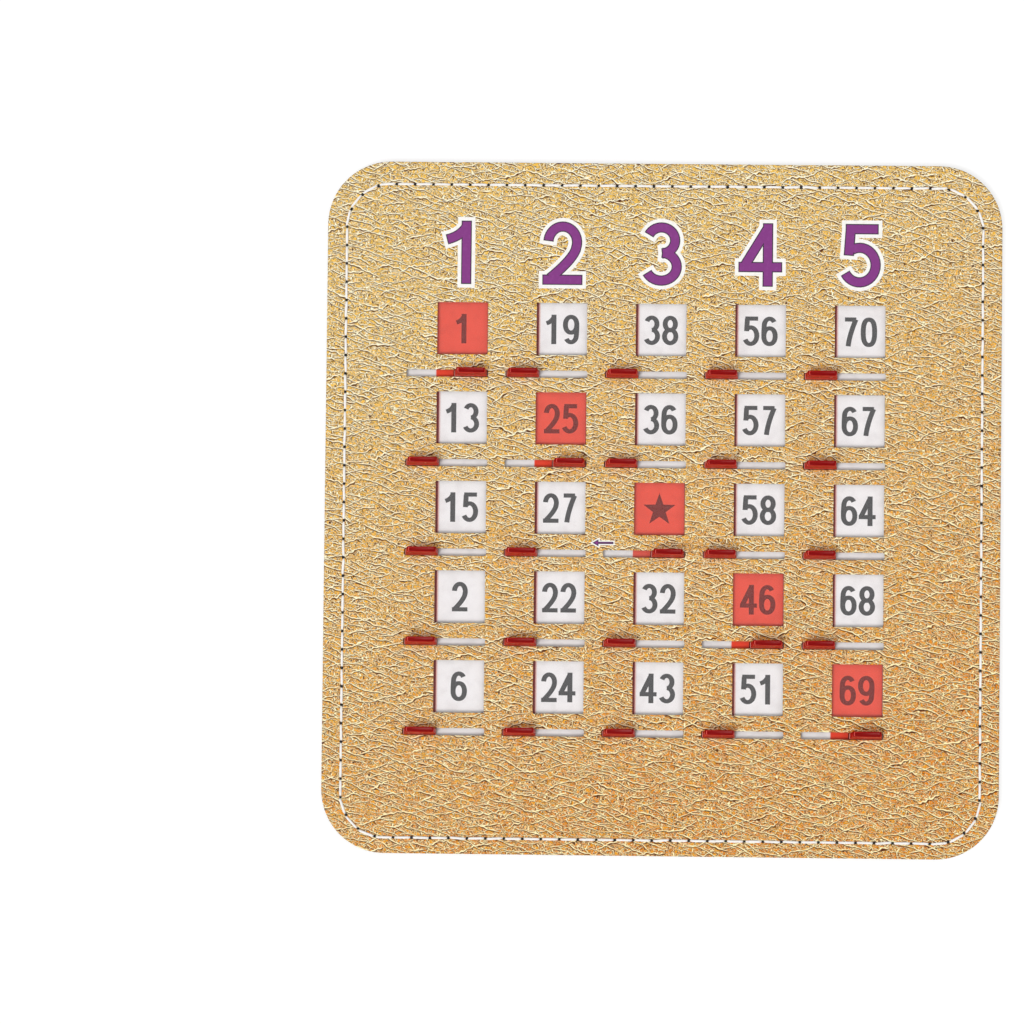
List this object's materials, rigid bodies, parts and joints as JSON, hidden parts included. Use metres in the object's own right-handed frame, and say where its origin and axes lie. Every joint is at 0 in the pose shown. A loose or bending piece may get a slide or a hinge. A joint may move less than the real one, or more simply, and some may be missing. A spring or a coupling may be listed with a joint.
{
  "type": "bingo card",
  "caption": "Flat stitched bingo card with numbered windows, each closed by a red sliding shutter; pulling the middle shutter opens the marked ones again.",
  "frame": {"origin": "middle of the card's back face, on the surface that the card lies on", "axes": "+X to the right of the card's face, +Y to its top edge, +Z out of its face"},
  "size_m": [0.235, 0.241, 0.0082],
  "materials": {
    "cover_leatherette": "gold leatherette with embossed creases",
    "back_leatherette": "gold leatherette with embossed creases",
    "board": "grey-beige pressed board",
    "printed_paper": "smooth white paper with dark grey print",
    "clear_sheet": "clear film",
    "shutter_plastic": "translucent red moulding",
    "thread": "white twisted sewing thread"
  },
  "bodies": {
    "card": {"front_cover": "cover_leatherette", "front_board": "board", "slide_frame": "board", "guide_board": "board", "number_sheet": "printed_paper", "back_board": "board", "back_cover": "back_leatherette", "front_stitching": "thread", "back_stitching": "thread"},
    "clear_slide": {"clear_shutter": "shutter_plastic", "clearing_sheet": "clear_sheet"},
    "shutter_row1_col1": {"shutter_row1_col1": "shutter_plastic"},
    "shutter_row1_col2": {"shutter_row1_col2": "shutter_plastic"},
    "shutter_row1_col3": {"shutter_row1_col3": "shutter_plastic"},
    "shutter_row1_col4": {"shutter_row1_col4": "shutter_plastic"},
    "shutter_row1_col5": {"shutter_row1_col5": "shutter_plastic"},
    "shutter_row2_col1": {"shutter_row2_col1": "shutter_plastic"},
    "shutter_row2_col2": {"shutter_row2_col2": "shutter_plastic"},
    "shutter_row2_col3": {"shutter_row2_col3": "shutter_plastic"},
    "shutter_row2_col4": {"shutter_row2_col4": "shutter_plastic"},
    "shutter_row2_col5": {"shutter_row2_col5": "shutter_plastic"},
    "shutter_row3_col1": {"shutter_row3_col1": "shutter_plastic"},
    "shutter_row3_col2": {"shutter_row3_col2": "shutter_plastic"},
    "shutter_row3_col4": {"shutter_row3_col4": "shutter_plastic"},
    "shutter_row3_col5": {"shutter_row3_col5": "shutter_plastic"},
    "shutter_row4_col1": {"shutter_row4_col1": "shutter_plastic"},
    "shutter_row4_col2": {"shutter_row4_col2": "shutter_plastic"},
    "shutter_row4_col3": {"shutter_row4_col3": "shutter_plastic"},
    "shutter_row4_col4": {"shutter_row4_col4": "shutter_plastic"},
    "shutter_row4_col5": {"shutter_row4_col5": "shutter_plastic"},
    "shutter_row5_col1": {"shutter_row5_col1": "shutter_plastic"},
    "shutter_row5_col2": {"shutter_row5_col2": "shutter_plastic"},
    "shutter_row5_col3": {"shutter_row5_col3": "shutter_plastic"},
    "shutter_row5_col4": {"shutter_row5_col4": "shutter_plastic"},
    "shutter_row5_col5": {"shutter_row5_col5": "shutter_plastic"}
  },
  "joints": [
    {"name": "clear_slide_travel", "type": "slide", "parent": "card", "child": "clear_slide", "axis": [1, 0, 0], "range_m": [-0.0164, 0]},
    {"name": "shutter_row1_col1_travel", "type": "slide", "parent": "card", "child": "shutter_row1_col1", "axis": [1, 0, 0], "range_m": [-0.0164, 0]},
    {"name": "shutter_row1_col2_travel", "type": "slide", "parent": "card", "child": "shutter_row1_col2", "axis": [1, 0, 0], "range_m": [0, 0.0164]},
    {"name": "shutter_row1_col3_travel", "type": "slide", "parent": "card", "child": "shutter_row1_col3", "axis": [1, 0, 0], "range_m": [0, 0.0164]},
    {"name": "shutter_row1_col4_travel", "type": "slide", "parent": "card", "child": "shutter_row1_col4", "axis": [1, 0, 0], "range_m": [0, 0.0164]},
    {"name": "shutter_row1_col5_travel", "type": "slide", "parent": "card", "child": "shutter_row1_col5", "axis": [1, 0, 0], "range_m": [0, 0.0164]},
    {"name": "shutter_row2_col1_travel", "type": "slide", "parent": "card", "child": "shutter_row2_col1", "axis": [1, 0, 0], "range_m": [0, 0.0164]},
    {"name": "shutter_row2_col2_travel", "type": "slide", "parent": "card", "child": "shutter_row2_col2", "axis": [1, 0, 0], "range_m": [-0.0164, 0]},
    {"name": "shutter_row2_col3_travel", "type": "slide", "parent": "card", "child": "shutter_row2_col3", "axis": [1, 0, 0], "range_m": [0, 0.0164]},
    {"name": "shutter_row2_col4_travel", "type": "slide", "parent": "card", "child": "shutter_row2_col4", "axis": [1, 0, 0], "range_m": [0, 0.0164]},
    {"name": "shutter_row2_col5_travel", "type": "slide", "parent": "card", "child": "shutter_row2_col5", "axis": [1, 0, 0], "range_m": [0, 0.0164]},
    {"name": "shutter_row3_col1_travel", "type": "slide", "parent": "card", "child": "shutter_row3_col1", "axis": [1, 0, 0], "range_m": [0, 0.0164]},
    {"name": "shutter_row3_col2_travel", "type": "slide", "parent": "card", "child": "shutter_row3_col2", "axis": [1, 0, 0], "range_m": [0, 0.0164]},
    {"name": "shutter_row3_col4_travel", "type": "slide", "parent": "card", "child": "shutter_row3_col4", "axis": [1, 0, 0], "range_m": [0, 0.0164]},
    {"name": "shutter_row3_col5_travel", "type": "slide", "parent": "card", "child": "shutter_row3_col5", "axis": [1, 0, 0], "range_m": [0, 0.0164]},
    {"name": "shutter_row4_col1_travel", "type": "slide", "parent": "card", "child": "shutter_row4_col1", "axis": [1, 0, 0], "range_m": [0, 0.0164]},
    {"name": "shutter_row4_col2_travel", "type": "slide", "parent": "card", "child": "shutter_row4_col2", "axis": [1, 0, 0], "range_m": [0, 0.0164]},
    {"name": "shutter_row4_col3_travel", "type": "slide", "parent": "card", "child": "shutter_row4_col3", "axis": [1, 0, 0], "range_m": [0, 0.0164]},
    {"name": "shutter_row4_col4_travel", "type": "slide", "parent": "card", "child": "shutter_row4_col4", "axis": [1, 0, 0], "range_m": [-0.0164, 0]},
    {"name": "shutter_row4_col5_travel", "type": "slide", "parent": "card", "child": "shutter_row4_col5", "axis": [1, 0, 0], "range_m": [0, 0.0164]},
    {"name": "shutter_row5_col1_travel", "type": "slide", "parent": "card", "child": "shutter_row5_col1", "axis": [1, 0, 0], "range_m": [0, 0.0164]},
    {"name": "shutter_row5_col2_travel", "type": "slide", "parent": "card", "child": "shutter_row5_col2", "axis": [1, 0, 0], "range_m": [0, 0.0164]},
    {"name": "shutter_row5_col3_travel", "type": "slide", "parent": "card", "child": "shutter_row5_col3", "axis": [1, 0, 0], "range_m": [0, 0.0164]},
    {"name": "shutter_row5_col4_travel", "type": "slide", "parent": "card", "child": "shutter_row5_col4", "axis": [1, 0, 0], "range_m": [0, 0.0164]},
    {"name": "shutter_row5_col5_travel", "type": "slide", "parent": "card", "child": "shutter_row5_col5", "axis": [1, 0, 0], "range_m": [-0.0164, 0]}
  ],
  "couplings": [
    {"joint": "shutter_row1_col1_travel", "follows": "clear_slide_travel", "ratio": 1},
    {"joint": "shutter_row2_col2_travel", "follows": "clear_slide_travel", "ratio": 1},
    {"joint": "shutter_row4_col4_travel", "follows": "clear_slide_travel", "ratio": 1},
    {"joint": "shutter_row5_col5_travel", "follows": "clear_slide_travel", "ratio": 1}
  ]
}
